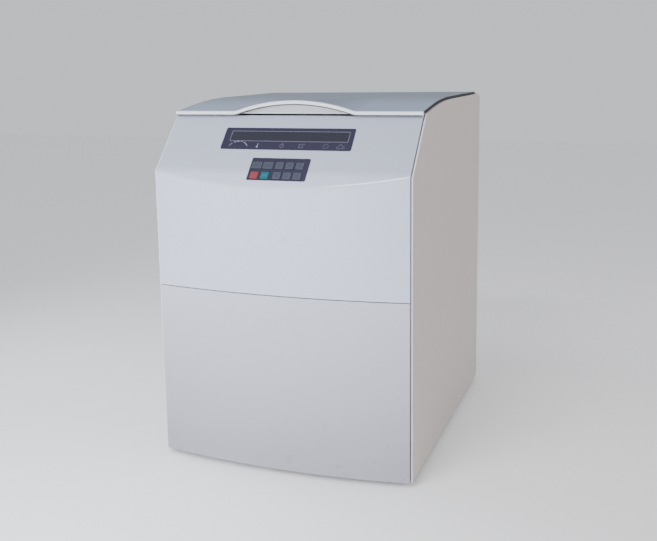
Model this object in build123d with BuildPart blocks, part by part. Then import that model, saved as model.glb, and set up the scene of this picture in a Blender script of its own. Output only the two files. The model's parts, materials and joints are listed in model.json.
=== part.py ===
"""Floor-standing laboratory centrifuge with a hinged lid, swing-out rotor and sloping fascia.

Frame: origin on the floor under the middle of the machine, +Z up, +X to the operator's right,
-Y towards the operator. Millimetres.
"""
from build123d import *
from math import atan2, cos, hypot, radians, sin, sqrt, tan
import os

os.makedirs("parts", exist_ok=True)

# ---------------------------------------------------------------- driving dimensions
width = 606.0                   # over the side panels
half_width = width / 2
panel_front_y = -362.5          # the front panels at their side edges
side_set_back = 6.0             # the side panels' front edges stand this far behind
panel_rear_y = 377.5            # rear edge of the side panels
bow_depth = 25.0                # how far the bowed front stands out in the middle
panel_bottom_z = 12.0
split_z = 414.0                 # joint between the two front panels
crease_z = 678.0                # where the front turns into the fascia, at the sides
fascia_top_y = -250.5
fascia_top_z = 799.0
skin = 1.5                      # side and rear sheet
front_sheet = 2.5               # front panel sheet
flange = 3.4                    # narrow hem round the side panels
seal_flange = 14.0              # wide flange that carries the lid seal
front_half = 298.0              # half width of the front panels
panel_gap = 2.0

# lid
lid_half = 299.0
edge_trim = 1.5                 # thickness of the rubber trim on the lid's side edges
trim_height = 5.4
lid_front = (-256.5, 807.5)     # (y, z) of the points along the lid's side profile
lid_knee = (-182.5, 818.5)
lid_crown = (7.5, 833.4)
lid_rear = (324.0, 836.27)
lid_sheet = 2.5
lip_radius = 5.35
lip_y = -254.15
lip_z = 804.15
arch_half = 152.0               # finger arch in the front lip
arch_rise = 24.0
arch_blend = 45.0               # radius of the arch's feet
arch_flat_z = 833.5             # the lid top runs level at this height behind the arch
seal_height = 3.4
seal_width = 7.7
lid_to_panel = 6.3              # lid top down to the side panel's top flange
liner_half = 268.0
liner_z = 803.0
liner_sheet = 3.0

# lid hinge
hinge_y = 330.0
hinge_z = 831.0
hinge_x = 190.0
knuckle_radius = 5.0
knuckle_length = 30.0
pin_radius = 2.5
running_gap = 0.05
cap_front_y = 336.0

# gas struts
strut_x = 278.0
strut_base = (329.5, 704.6)     # (y, z) of the lower pivot
strut_top = (260.4, 820.6)      # (y, z) of the rod eye with the lid closed
strut_tube_radius = 7.5
strut_rod_radius = 4.0

# chamber and deck
chamber_y = 65.0
deck_z = 788.0
deck_sheet = 3.0
bowl_radius = 212.0
bowl_sheet = 1.5
bowl_floor_z = 548.0
bowl_flange_radius = 228.0

# rotor
trunnion_z = 700.0
trunnion_radius = 95.0
shaft_radius = 12.5
bucket_radius = 46.0
bucket_sheet = 3.0
bucket_above = 22.0
bucket_below = 104.0
ear_span = 48.3
trunnion_pin_radius = 6.0

# frame
post = 25.0
post_x = 274.5                  # centre of the corner posts
front_post_y = -332.5
middle_post_y = -227.5
rear_post_y = 357.5
beam_ys = (-57.5, 187.5)        # the two beams that carry the motor
beam_z = 442.5                  # centre height of the motor beams
pan_z = 52.0
front_post_top = 655.0           # the front posts stop under the fascia slope

# ---------------------------------------------------------------- fascia plane
slope = atan2(fascia_top_z - crease_z, fascia_top_y - panel_front_y)
fascia = Plane(
    origin=(0, panel_front_y, crease_z),
    x_dir=(1, 0, 0),
    z_dir=(0, -sin(slope), cos(slope)),
)


def upright_plane(y, x=0.0, z=0.0):
    """A vertical plane facing the operator, local x to the right and local y up."""
    return Plane(origin=(x, y, z), x_dir=(1, 0, 0), z_dir=(0, -1, 0))


def chamber_axis():
    return Axis((0, chamber_y, 0), (0, 0, 1))


def turned(profile, plane, axis):
    """A body of revolution from a closed (radius, height) outline."""
    with BuildPart() as body:
        with BuildSketch(plane):
            with BuildLine():
                Polyline(*profile, close=True)
            make_face()
        revolve(axis=axis)
    return body.part


# ---------------------------------------------------------------- lid profile helpers
crown_slope = (lid_rear[1] - lid_crown[1]) / (lid_rear[0] - lid_crown[0])
front_slope = (lid_knee[1] - lid_front[1]) / (lid_knee[0] - lid_front[0])
control_y = (
    lid_crown[1] - lid_knee[1] + front_slope * lid_knee[0] - crown_slope * lid_crown[0]
) / (front_slope - crown_slope)
lid_control = (control_y, lid_knee[1] + front_slope * (control_y - lid_knee[0]))

# the arch is a circular crown that meets a blend arc at each foot on a common tangent
arch_angle = 2 * atan2(arch_rise, arch_half)
arch_crown = arch_half / sin(arch_angle) - arch_blend


def arch_height(x):
    """How far the front lip is raised at a distance x from the middle."""
    reach = abs(x)
    if reach >= arch_half:
        return 0.0
    if reach <= arch_crown * sin(arch_angle):
        return arch_rise - arch_crown + sqrt(arch_crown**2 - reach**2)
    return arch_blend - sqrt(arch_blend**2 - (arch_half - reach) ** 2)


def lid_line_height(y):
    """Height of the straight front part of the lid's side profile."""
    return lid_front[1] + front_slope * (y - lid_front[0])


def profile_down(drop, start_y, end_y):
    """The lid's side profile lowered by drop, from start_y to end_y, as connected lines."""
    start = (start_y, lid_line_height(start_y) - drop)
    knee = (lid_knee[0], lid_knee[1] - drop)
    control = (lid_control[0], lid_control[1] - drop)
    crown = (lid_crown[0], lid_crown[1] - drop)
    end = (end_y, lid_crown[1] + crown_slope * (end_y - lid_crown[0]) - drop)
    Line(start, knee)
    Bezier(knee, control, crown)
    Line(crown, end)
    return start, end


# ---------------------------------------------------------------- side panels
panel_top_start = -240.0
cap_panel_z = 825.2             # side panel's top at its rear corner
rib_bottom = 70.0


def panel_outline(inset):
    """Side panel outline moved in by inset: a local sketch, x along Y and y up."""
    front_y = panel_front_y + side_set_back
    slope_y = front_y + inset * sin(slope)
    slope_z = crease_z - inset * cos(slope)
    crease_inner = slope_z + (front_y + inset - slope_y) * tan(slope)
    top_z = fascia_top_z - inset
    top_y = slope_y + (top_z - slope_z) / tan(slope)
    with BuildSketch() as outline:
        with BuildLine():
            start, end = profile_down(lid_to_panel + inset, panel_top_start, cap_front_y)
            Polyline(
                end,
                (panel_rear_y - inset, cap_panel_z - inset),
                (panel_rear_y - inset, panel_bottom_z + inset),
                (front_y + inset, panel_bottom_z + inset),
                (front_y + inset, crease_inner),
                (top_y, top_z),
                start,
            )
        make_face()
    return outline.sketch


def side_panel(side):
    outline = panel_outline(0.0)
    inner_outline = panel_outline(skin)
    outer = Plane.YZ.offset(side * half_width)
    with BuildPart() as panel:
        with BuildSketch(outer):
            add(outline)
        extrude(amount=-side * skin)
        with BuildSketch(outer):
            add(outline)
            add(inner_outline, mode=Mode.SUBTRACT)
        extrude(amount=-side * flange)
        with BuildSketch(outer):
            add(outline)
            add(inner_outline, mode=Mode.SUBTRACT)
            with Locations(((panel_top_start + cap_front_y) / 2, fascia_top_z + 20)):
                Rectangle(cap_front_y - panel_top_start, 40, mode=Mode.INTERSECT)
        extrude(amount=-side * seal_flange)
        # hat ribs that stand the skin off the corner posts
        rib_inside = post_x + post / 2
        rib_depth = half_width - skin - rib_inside
        for rib_y, rib_top in ((front_post_y, 640), (middle_post_y, 640), (rear_post_y, 760)):
            with BuildSketch(Plane.XY.offset(rib_bottom)):
                with Locations((side * (rib_inside + rib_depth / 2), rib_y)):
                    Rectangle(rib_depth, post)
                with Locations((side * (rib_inside + rib_depth / 2 + skin / 2), rib_y)):
                    Rectangle(rib_depth - skin, post - 2 * skin, mode=Mode.SUBTRACT)
            extrude(amount=rib_top - rib_bottom)
    return panel


left_side_panel = side_panel(-1)
right_side_panel = side_panel(1)


# ---------------------------------------------------------------- bowed front panels
def bow_outline(inset, back):
    """Plan of the bowed front, moved in by inset, closed straight across at y = back."""
    radius = (front_half**2 + bow_depth**2) / (2 * bow_depth)
    centre_y = panel_front_y - bow_depth + radius
    edge = front_half - inset
    edge_y = centre_y - sqrt((radius - inset) ** 2 - edge**2)
    apex_y = panel_front_y - bow_depth + inset
    with BuildSketch() as outline:
        with BuildLine():
            ThreePointArc((-edge, edge_y), (0, apex_y), (edge, edge_y))
            Polyline((edge, edge_y), (edge, back), (-edge, back), (-edge, edge_y))
        make_face()
    return outline.sketch


def fascia_block(inset, bottom, back, crease_radius):
    """The solid behind the upper front: bowed front, rounded crease, fascia slope, flat top."""
    plane = fascia.offset(-inset)
    plan = bow_outline(inset, back)
    with BuildPart() as block:
        with BuildSketch(Plane.XY.offset(bottom)):
            add(plan)
        extrude(amount=fascia_top_z - inset - bottom)
        with BuildSketch(plane):
            Rectangle(2 * width, 2 * width)
        extrude(amount=width, mode=Mode.SUBTRACT)
        creases = block.edges().filter_by(
            lambda edge: abs(fascia.to_local_coords(edge.center()).Z + inset) < 0.2
            and edge.length > front_half
        )
        fillet(creases.sort_by(Axis.Z)[0], radius=crease_radius)
    return block.part


upper_return_back = -345.0
upper_outer = fascia_block(0.0, split_z + panel_gap / 2, -232.0, 14.0)
upper_inner = fascia_block(front_sheet, split_z, -200.0, 11.5)
upper_return = bow_outline(front_sheet - 0.5, upper_return_back)
with BuildPart() as upper_front_panel:
    add(upper_outer)
    add(upper_inner, mode=Mode.SUBTRACT)
    with BuildSketch(Plane.XY.offset(split_z + panel_gap / 2)):
        add(upper_return)
    extrude(amount=2.0)
    # side returns stop short of the posts
    with BuildSketch(Plane.XY.offset(split_z + panel_gap / 2)):
        with Locations((0, upper_return_back + 99)):
            Rectangle(2 * front_half + 2, 200)
    extrude(amount=crease_z - 30 - split_z, mode=Mode.SUBTRACT)
    # keypad and display openings
    with BuildSketch(fascia.offset(1)):
        with Locations((-1.8, 9.5)):
            Rectangle(126, 47.8)
        with Locations((2.75, 104)):
            Rectangle(262, 18)
    extrude(amount=-6, mode=Mode.SUBTRACT)

lower_top_z = split_z - panel_gap / 2
lower_plan = bow_outline(0.0, upper_return_back)
lower_inside = bow_outline(2.0, -300.0)
lower_ledge = bow_outline(14.0, -300.0)
with BuildPart() as lower_front_panel:
    with BuildSketch(Plane.XY.offset(panel_bottom_z)):
        add(lower_plan)
    extrude(amount=lower_top_z - panel_bottom_z)
    with BuildSketch(Plane.XY.offset(panel_bottom_z + 2)):
        add(lower_inside)
    extrude(amount=lower_top_z - panel_bottom_z - 4, mode=Mode.SUBTRACT)
    # the top and bottom returns are narrow ledges
    with BuildSketch(Plane.XY.offset(panel_bottom_z - 1)):
        add(lower_ledge)
    extrude(amount=lower_top_z - panel_bottom_z + 2, mode=Mode.SUBTRACT)

# ---------------------------------------------------------------- fascia overlays and keys
overlay = 1.0
key_columns = (-51.0, -24.7, 2.5, 26.5, 50.0)
key_widths = (24.0, 24.0, 18.6, 18.6, 18.6)
key_rows = (23.0, -4.0)
key_height = 18.0
key_travel = 0.6
key_gap = 0.45


def key_width(column, row):
    """Only the top row's first two keys are wide."""
    return key_widths[column] if row == 0 else 18.6


def key_middle(column, row):
    """The narrow keys of the lower row sit a little to one side of the wide ones."""
    return key_columns[column] - (1.2 if row == 1 and column == 1 else 0.0)


with BuildPart() as keypad_overlay:
    with BuildSketch(fascia):
        with Locations((1.8, 13.5)):
            RectangleRounded(137.6, 60, 3)
        for row, s in enumerate(key_rows):
            for column in range(len(key_columns)):
                with Locations((key_middle(column, row), s)):
                    Rectangle(
                        key_width(column, row) + 2 * key_gap,
                        key_height + 2 * key_gap,
                        mode=Mode.SUBTRACT,
                    )
    extrude(amount=overlay)


def key(column, row):
    """A key cap with a retaining rim behind the overlay, on a plunger."""
    middle = (key_middle(column, row), key_rows[row])
    wide = key_width(column, row)
    with BuildPart() as cap:
        with BuildSketch(fascia.offset(-1.2)):
            with Locations(middle):
                RectangleRounded(wide, key_height, 1.2)
        extrude(amount=overlay + 1.2 + 1.1)
        top = cap.faces().sort_by(Axis((0, 0, 0), fascia.z_dir))[-1]
        fillet(top.edges(), radius=0.5)
        with BuildSketch(fascia.offset(-2.2)):
            with Locations(middle):
                Rectangle(wide + 1.1, key_height + 1.1)
        extrude(amount=1.4)
        with BuildSketch(fascia.offset(-4.0)):
            with Locations(middle):
                Rectangle(6, 6)
        extrude(amount=2.0)
    return cap


keys = [key(column, row) for row in range(2) for column in range(5)]

with BuildPart() as display_overlay:
    with BuildSketch(fascia):
        with Locations((-0.25, 97.5)):
            RectangleRounded(311.5, 61, 4)
        with Locations((2.75, 104.25)):
            RectangleRounded(281.5, 26.5, 2, mode=Mode.SUBTRACT)
    extrude(amount=overlay)

with BuildPart() as display_window:
    with BuildSketch(fascia):
        with Locations((2.75, 104.25)):
            RectangleRounded(281.3, 26.3, 1.9)
    extrude(amount=0.8)

with BuildPart() as control_board:
    with BuildSketch(fascia.offset(-7.0)):
        with Locations((0, 52)):
            Rectangle(330, 138)
    extrude(amount=1.6)
    # display module in the upper opening
    with BuildSketch(fascia.offset(-5.5)):
        with Locations((2.75, 104)):
            Rectangle(256, 16)
    extrude(amount=4.6)
    # components on the back of the board
    with BuildSketch(fascia.offset(-7.0)):
        with GridLocations(52, 44, 5, 2):
            Rectangle(24, 16)
    extrude(amount=-6)
    # spacers up to the fascia sheet
    with BuildSketch(fascia.offset(-5.5)):
        with Locations((-158, 52), (158, 52)):
            Circle(4)
    extrude(amount=5.5 - front_sheet)

# ---------------------------------------------------------------- rear panel with its cap
rear_plate_y = panel_rear_y - 2.0
cap_front_z = 833.0
cap_rear_z = 827.4
inlet_x = -200.0
inlet_z = 110.0
rocker_y = rear_plate_y - 8.0
rocker_axle = 2.0
rocker_tilt = radians(-8.0)
with BuildPart() as rear_panel:
    with BuildSketch(upright_plane(rear_plate_y)):
        with Locations((0, (14 + cap_rear_z - 3) / 2)):
            Rectangle(2 * (half_width - flange - 1), cap_rear_z - 3 - 14)
    extrude(amount=skin)
    with BuildSketch(Plane.YZ.offset(-lid_half)):
        with BuildLine():
            Polyline(
                (cap_front_y, cap_front_z),
                (rear_plate_y, cap_rear_z),
                (rear_plate_y, cap_rear_z - skin),
                (cap_front_y, cap_front_z - skin),
                close=True,
            )
        make_face()
    extrude(amount=2 * lid_half)
    # down-turned lip at the cap's front and the joggle that joins cap and plate
    with BuildSketch(Plane.YZ.offset(-284)):
        with BuildLine():
            Polyline(
                (cap_front_y, cap_front_z),
                (cap_front_y + skin, cap_front_z - 0.3),
                (cap_front_y + skin, cap_front_z - 15),
                (cap_front_y, cap_front_z - 15),
                close=True,
            )
        make_face()
        with Locations((rear_plate_y - skin / 2, cap_rear_z - 4)):
            Rectangle(skin, 7)
    extrude(amount=568)
    # condenser grille and ventilation slots
    with BuildSketch(upright_plane(rear_plate_y + 1)):
        with Locations((140, 210)):
            with GridLocations(0, 15, 1, 13):
                SlotOverall(200, 7)
        with Locations((-140, 600), (140, 600)):
            with GridLocations(0, 15, 1, 7):
                SlotOverall(150, 6)
        with Locations((inlet_x, inlet_z)):
            Rectangle(88, 60)
    extrude(amount=4, mode=Mode.SUBTRACT)

with BuildPart() as panel_screws:
    screw_spots = [(x, z) for x in (-282, 0, 282) for z in (30, 400, 800)]
    with BuildSketch(upright_plane(rear_plate_y)):
        with Locations(*screw_spots):
            Circle(5)
    extrude(amount=-1.8)
    with BuildSketch(upright_plane(rear_plate_y + 1.8)):
        with Locations(*screw_spots):
            Rectangle(5.5, 1.1)
            Rectangle(1.1, 5.5)
    extrude(amount=1.0, mode=Mode.SUBTRACT)

# ---------------------------------------------------------------- base and upright frame
roller_radius = 22.0
roller_x = 230.0
roller_y = 310.0
axle_radius = 5.0
foot_x = 225.0
foot_y = -290.0
stem_radius = 6.0
base_low_y = -345.0
base_high_y = 372.0

with BuildPart() as base_frame:
    # pan
    with BuildSketch(Plane.XY.offset(pan_z)):
        with Locations((0, (base_low_y + base_high_y) / 2)):
            Rectangle(570, base_high_y - base_low_y)
    extrude(amount=3)
    # perimeter stiffening channel
    with BuildSketch(Plane.XY.offset(26)):
        with Locations((0, (base_low_y + base_high_y) / 2)):
            Rectangle(570, base_high_y - base_low_y)
            Rectangle(566, base_high_y - base_low_y - 4, mode=Mode.SUBTRACT)
    extrude(amount=pan_z - 26)
    # roller brackets with axles
    for side in (-1, 1):
        with BuildSketch(Plane.YZ.offset(side * roller_x - 14)):
            with BuildLine():
                Polyline((roller_y - 22, pan_z), (roller_y + 22, pan_z), (roller_y + 9, 13))
                Polyline((roller_y + 9, 13), (roller_y - 9, 13), (roller_y - 22, pan_z))
            make_face()
        extrude(amount=3)
        with BuildSketch(Plane.YZ.offset(side * roller_x + 11)):
            with BuildLine():
                Polyline((roller_y - 22, pan_z), (roller_y + 22, pan_z), (roller_y + 9, 13))
                Polyline((roller_y + 9, 13), (roller_y - 9, 13), (roller_y - 22, pan_z))
            make_face()
        extrude(amount=3)
        with BuildSketch(Plane.YZ.offset(side * roller_x - 16)):
            with Locations((roller_y, roller_radius)):
                Circle(axle_radius)
        extrude(amount=32)
        # foot boss
        with BuildSketch(Plane.XY.offset(34)):
            with Locations((side * foot_x, foot_y)):
                Circle(14)
        extrude(amount=pan_z - 34)
    with BuildSketch(Plane.XY.offset(30)):
        with Locations((-foot_x, foot_y), (foot_x, foot_y)):
            Circle(stem_radius + running_gap)
    extrude(amount=30, mode=Mode.SUBTRACT)

with BuildPart() as upright_frame:
    # corner posts
    post_floor = pan_z + 3
    with BuildSketch(Plane.XY.offset(post_floor)):
        with Locations((-post_x, front_post_y), (post_x, front_post_y)):
            Rectangle(post, post)
    extrude(amount=front_post_top - post_floor)
    with BuildSketch(Plane.XY.offset(post_floor)):
        for y in (middle_post_y, rear_post_y):
            with Locations((-post_x, y), (post_x, y)):
                Rectangle(post, post)
    extrude(amount=deck_z - post_floor)
    inner = post_x - post / 2
    # rails across the machine: fascia foot, deck front, deck rear and the motor beams
    deck_rail_z = deck_z - post / 2
    rails = [(front_post_y, beam_z), (middle_post_y, deck_rail_z), (rear_post_y, deck_rail_z)]
    rails += [(y, beam_z) for y in beam_ys]
    with BuildSketch(Plane.YZ.offset(-inner)):
        with Locations(*rails):
            Rectangle(post, post)
    extrude(amount=2 * inner)
    # side rails at beam height join all the posts
    with BuildSketch(Plane.XY.offset(beam_z - post / 2)):
        rail_y = (front_post_y + rear_post_y) / 2
        with Locations((-post_x, rail_y), (post_x, rail_y)):
            Rectangle(post, rear_post_y - front_post_y + post)
    extrude(amount=post)
    # lower strut brackets on the rear posts
    for side in (-1, 1):
        with BuildSketch(Plane.YZ.offset(side * (strut_x - 11))):
            with Locations((rear_post_y - post / 2 - 13, strut_base[1])):
                Rectangle(26, 30)
        extrude(amount=side * 3)
        with BuildSketch(Plane.YZ.offset(side * (strut_x - 9))):
            with Locations(strut_base):
                Circle(strut_rod_radius)
        extrude(amount=side * 14)

# ---------------------------------------------------------------- rollers and feet


def roller(side):
    with BuildPart() as wheel:
        with BuildSketch(Plane.YZ.offset(side * roller_x - 10.5)):
            with Locations((roller_y, roller_radius)):
                Circle(roller_radius)
                Circle(axle_radius + running_gap, mode=Mode.SUBTRACT)
        extrude(amount=21)
        rims = wheel.edges().filter_by(GeomType.CIRCLE).filter_by(lambda e: e.radius > 20)
        fillet(rims, radius=2.0)
        for face_x, direction in ((-10.5, 1), (10.5, -1)):
            with BuildSketch(Plane.YZ.offset(side * roller_x + face_x)):
                with Locations((roller_y, roller_radius)):
                    Circle(16)
                    Circle(9, mode=Mode.SUBTRACT)
            extrude(amount=direction * 3, mode=Mode.SUBTRACT)
    return wheel


rear_roller_left = roller(-1)
rear_roller_right = roller(1)


def foot(side):
    """A levelling foot: rubber-soled pad, threaded stem and lock nut in one turned piece."""
    profile = [(0, 0), (22, 0), (22, 5), (18, 9), (8, 11), (8, 18), (stem_radius, 18)]
    profile += [(stem_radius, 70), (0, 70)]
    plane = upright_plane(foot_y, side * foot_x)
    axis = Axis((side * foot_x, foot_y, 0), (0, 0, 1))
    with BuildPart() as pad:
        add(turned(profile, plane, axis))
        with BuildSketch(Plane.XY.offset(19)):
            with Locations((side * foot_x, foot_y)):
                RegularPolygon(10.5, 6)
        extrude(amount=8)
    return pad


front_foot_left = foot(-1)
front_foot_right = foot(1)

# ---------------------------------------------------------------- deck and chamber
chamber_plane = upright_plane(chamber_y)
deck_front_y = -240.0
deck_hole_radius = 216.0
deck_rear_y = 371.0
latch_y = -203.8

with BuildPart() as top_deck:
    with BuildSketch(Plane.XY.offset(deck_z)):
        with Locations((0, (deck_front_y + deck_rear_y) / 2)):
            Rectangle(574, deck_rear_y - deck_front_y)
        with Locations((0, chamber_y)):
            Circle(deck_hole_radius, mode=Mode.SUBTRACT)
        # the struts pass through notches beside the chamber
        for side in (-1, 1):
            with Locations((side * 277, 286)):
                Rectangle(26, 116, mode=Mode.SUBTRACT)
        with Locations((8, latch_y)):
            Rectangle(46, 12, mode=Mode.SUBTRACT)
    extrude(amount=deck_sheet)

with BuildPart() as chamber_bowl:
    wall = bowl_radius + bowl_sheet
    deck_top = deck_z + deck_sheet
    with BuildSketch(chamber_plane):
        with BuildLine():
            Polyline((17, bowl_floor_z), (bowl_radius - 20, bowl_floor_z))
            RadiusArc(
                (bowl_radius - 20, bowl_floor_z), (bowl_radius, bowl_floor_z + 20), -20
            )
            Polyline(
                (bowl_radius, bowl_floor_z + 20),
                (bowl_radius, deck_top + bowl_sheet),
                (bowl_flange_radius, deck_top + bowl_sheet),
                (bowl_flange_radius, deck_top),
                (wall, deck_top),
                (wall, bowl_floor_z + 20),
            )
            RadiusArc(
                (wall, bowl_floor_z + 20), (bowl_radius - 20, bowl_floor_z - bowl_sheet), 21.5
            )
            Polyline(
                (bowl_radius - 20, bowl_floor_z - bowl_sheet),
                (17, bowl_floor_z - bowl_sheet),
                (17, bowl_floor_z),
            )
        make_face()
    revolve(axis=chamber_axis())
    # raised collar round the spindle keeps spills out of the drive
    with BuildSketch(chamber_plane):
        with Locations((18, bowl_floor_z + 10)):
            Rectangle(2, 20)
    revolve(axis=chamber_axis())

with BuildPart() as chamber_gasket:
    gasket_low = deck_top + bowl_sheet
    with BuildSketch(chamber_plane):
        with BuildLine():
            Polyline(
                (217, gasket_low),
                (227, gasket_low),
                (227, liner_z - 3.3),
                (223, liner_z - 0.3),
                (219, liner_z - 0.3),
                (217, liner_z - 3.3),
                close=True,
            )
        make_face()
    revolve(axis=chamber_axis())

with BuildPart() as bowl_insulation:
    foam_floor = bowl_floor_z - bowl_sheet - 0.2
    add(
        turned(
            [(42, 522), (248, 522), (248, 786), (223.2, 786), (223.2, foam_floor), (42, foam_floor)],
            chamber_plane,
            chamber_axis(),
        )
    )

guard_radius = 257.0
guard_wall = 7.0
with BuildPart() as guard_ring:
    guard_low = beam_z + post / 2
    with BuildSketch(Plane.XY.offset(guard_low)):
        with Locations((0, chamber_y)):
            Circle(guard_radius)
            Circle(guard_radius - guard_wall, mode=Mode.SUBTRACT)
    extrude(amount=deck_z - 6 - guard_low)

coil_radius = 218.2
coil_tube = 4.0
with BuildPart() as evaporator_coil:
    for turn in range(9):
        with BuildSketch(chamber_plane):
            with Locations((coil_radius, 574 + 23 * turn)):
                Circle(coil_tube)
        revolve(axis=chamber_axis())
    # header pipe joins the turns
    with BuildSketch(Plane.XY.offset(574)):
        with Locations((0, chamber_y + coil_radius)):
            Circle(coil_tube - 0.3)
    extrude(amount=23 * 8)

# ---------------------------------------------------------------- motor and its mounting
plate_low = beam_z + post / 2 + 25
with BuildPart() as motor_plate:
    with BuildSketch(Plane.XY.offset(plate_low)):
        with Locations((0, chamber_y)):
            RectangleRounded(300, 300, 18)
            Circle(26, mode=Mode.SUBTRACT)
    extrude(amount=8)

with BuildPart() as rubber_dampers:
    with BuildSketch(Plane.XY.offset(plate_low - 25)):
        for damper_y in beam_ys:
            with Locations((-110, damper_y), (110, damper_y)):
                Circle(11)
    extrude(amount=25)
    for level in (plate_low - 25, plate_low - 7):
        with BuildSketch(Plane.XY.offset(level)):
            for damper_y in beam_ys:
                with Locations((-110, damper_y), (110, damper_y)):
                    Circle(12.4)
        extrude(amount=7)

motor_low = 270.0
motor_radius = 88.0
with BuildPart() as motor_housing:
    with BuildSketch(Plane.XY.offset(motor_low)):
        with Locations((0, chamber_y)):
            Circle(motor_radius)
    extrude(amount=plate_low - motor_low - 10)
    fillet(motor_housing.edges().group_by(Axis.Z)[0], radius=8)
    with BuildSketch(Plane.XY.offset(plate_low - 12)):
        with Locations((0, chamber_y)):
            Circle(motor_radius + 8)
    extrude(amount=12)
    # cooling fins
    with BuildSketch(Plane.XY.offset(motor_low + 20)):
        with Locations((0, chamber_y)):
            with PolarLocations(motor_radius + 2, 24):
                Rectangle(8, 3)
    extrude(amount=plate_low - motor_low - 34)
    with BuildSketch(Plane.XY.offset(plate_low)):
        with Locations((0, chamber_y)):
            Circle(shaft_radius + running_gap)
    extrude(amount=-60, mode=Mode.SUBTRACT)

# ---------------------------------------------------------------- cooling plant
compressor_spot = (-150.0, 230.0)
with BuildPart() as compressor:
    dome = [(0, 78), (70, 78), (88, 92), (88, 250), (70, 285), (38, 298), (0, 300)]
    dome_axis = Axis((*compressor_spot, 0), (0, 0, 1))
    add(turned(dome, upright_plane(compressor_spot[1], compressor_spot[0]), dome_axis))
    with BuildSketch(Plane.XY.offset(pan_z + 3)):
        with Locations(compressor_spot):
            with GridLocations(130, 130, 2, 2):
                Circle(12)
    extrude(amount=25)
    with BuildSketch(Plane.XY.offset(80)):
        with Locations(compressor_spot):
            RectangleRounded(170, 170, 20)
    extrude(amount=4)

fan_x = 140.0
fan_z = 210.0
fan_radius = 100.0
core_y = 310.0
shroud_y = core_y + 24
spider_y = shroud_y + 31
hub_y = shroud_y + 6
with BuildPart() as condenser_core:
    for level in range(8):
        with BuildSketch(Plane.YZ.offset(22)):
            with Locations((core_y, 94 + 33 * level)):
                Circle(4.5)
        extrude(amount=236)
    for fin in range(30):
        with BuildSketch(Plane.YZ.offset(26 + 7.8 * fin)):
            with Locations((core_y, 209.5)):
                Rectangle(38, 258)
        extrude(amount=1.0)
    for x in (20, 258):
        with BuildSketch(Plane.YZ.offset(x)):
            with Locations((core_y, 200)):
                Rectangle(42, 290)
        extrude(amount=2)

with BuildPart() as fan_shroud:
    with BuildSketch(upright_plane(shroud_y)):
        with Locations((fan_x, fan_z)):
            Rectangle(240, 250)
            Circle(fan_radius + 6, mode=Mode.SUBTRACT)
    extrude(amount=-2)
    with BuildSketch(upright_plane(shroud_y)):
        with Locations((fan_x, fan_z)):
            Circle(fan_radius + 8)
            Circle(fan_radius + 6, mode=Mode.SUBTRACT)
    extrude(amount=-34)
    with BuildSketch(upright_plane(spider_y)):
        with Locations((fan_x, fan_z)):
            Rectangle(8, 2 * fan_radius + 13)
            Rectangle(2 * fan_radius + 13, 8)
            Circle(24)
    extrude(amount=-3)
    with BuildSketch(upright_plane(hub_y)):
        with Locations((fan_x, fan_z)):
            Circle(4)
    extrude(amount=-27)

with BuildPart() as fan_blades:
    with BuildSketch(upright_plane(hub_y)):
        with Locations((fan_x, fan_z)):
            Circle(26)
            Circle(4 + running_gap, mode=Mode.SUBTRACT)
    extrude(amount=-20)
    for blade in range(5):
        turn = radians(72 * blade)
        root = Plane(
            origin=(fan_x + 24 * cos(turn), hub_y + 10, fan_z + 24 * sin(turn)),
            x_dir=(-sin(turn) * cos(radians(28)), sin(radians(28)), cos(turn) * cos(radians(28))),
            z_dir=(cos(turn), 0, sin(turn)),
        )
        with BuildSketch(root):
            Rectangle(30, 2.2)
        with BuildSketch(root.offset(fan_radius - 28)):
            Rectangle(40, 2.2)
        loft()

# ---------------------------------------------------------------- power inlet and switch
with BuildPart() as power_entry:
    with BuildSketch(upright_plane(rear_plate_y)):
        with Locations((inlet_x, inlet_z)):
            RectangleRounded(96, 68, 4)
    extrude(amount=-1.8)
    with BuildSketch(upright_plane(rear_plate_y)):
        with Locations((inlet_x, inlet_z)):
            Rectangle(86, 58)
    extrude(amount=30)
    with BuildSketch(upright_plane(rear_plate_y + 3)):
        with Locations((inlet_x - 22, inlet_z)):
            Rectangle(28, 22)
        with Locations((inlet_x + 22, inlet_z)):
            Rectangle(24, 32)
    extrude(amount=24, mode=Mode.SUBTRACT)
    with BuildSketch(upright_plane(rear_plate_y - 3)):
        with Locations((inlet_x - 22, inlet_z - 5)):
            Rectangle(2, 6)
        with Locations((inlet_x - 29, inlet_z + 3), (inlet_x - 15, inlet_z + 3)):
            Rectangle(2, 6)
    extrude(amount=20)
    # rocker axle
    with BuildSketch(Plane.YZ.offset(inlet_x + 8)):
        with Locations((rocker_y, inlet_z)):
            Circle(rocker_axle)
    extrude(amount=28)

rocker_plane = Plane(
    origin=(inlet_x + 12, rocker_y, inlet_z),
    x_dir=(0, cos(rocker_tilt), sin(rocker_tilt)),
    z_dir=(1, 0, 0),
)
with BuildPart() as power_rocker:
    with BuildSketch(rocker_plane):
        with BuildLine():
            Polyline((-7, -13), (6.5, -14), (7.5, 0), (6.5, 14), (-7, 13), close=True)
        make_face()
        Circle(rocker_axle + running_gap, mode=Mode.SUBTRACT)
    extrude(amount=20)

# ---------------------------------------------------------------- lid latch
with BuildPart() as latch_housing:
    with BuildSketch(Plane.XY.offset(deck_z - 44)):
        with Locations((0, latch_y)):
            Rectangle(76, 20)
            with Locations((8, 0)):
                Rectangle(50, 10, mode=Mode.SUBTRACT)
    extrude(amount=44)
    with BuildSketch(Plane.XY.offset(deck_z - 47)):
        with Locations((0, latch_y)):
            Rectangle(76, 20)
    extrude(amount=3)
    with BuildSketch(Plane.YZ.offset(-30)):
        with Locations((latch_y, deck_z - 22)):
            Circle(4.0 + running_gap)
    extrude(amount=66, mode=Mode.SUBTRACT)

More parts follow.
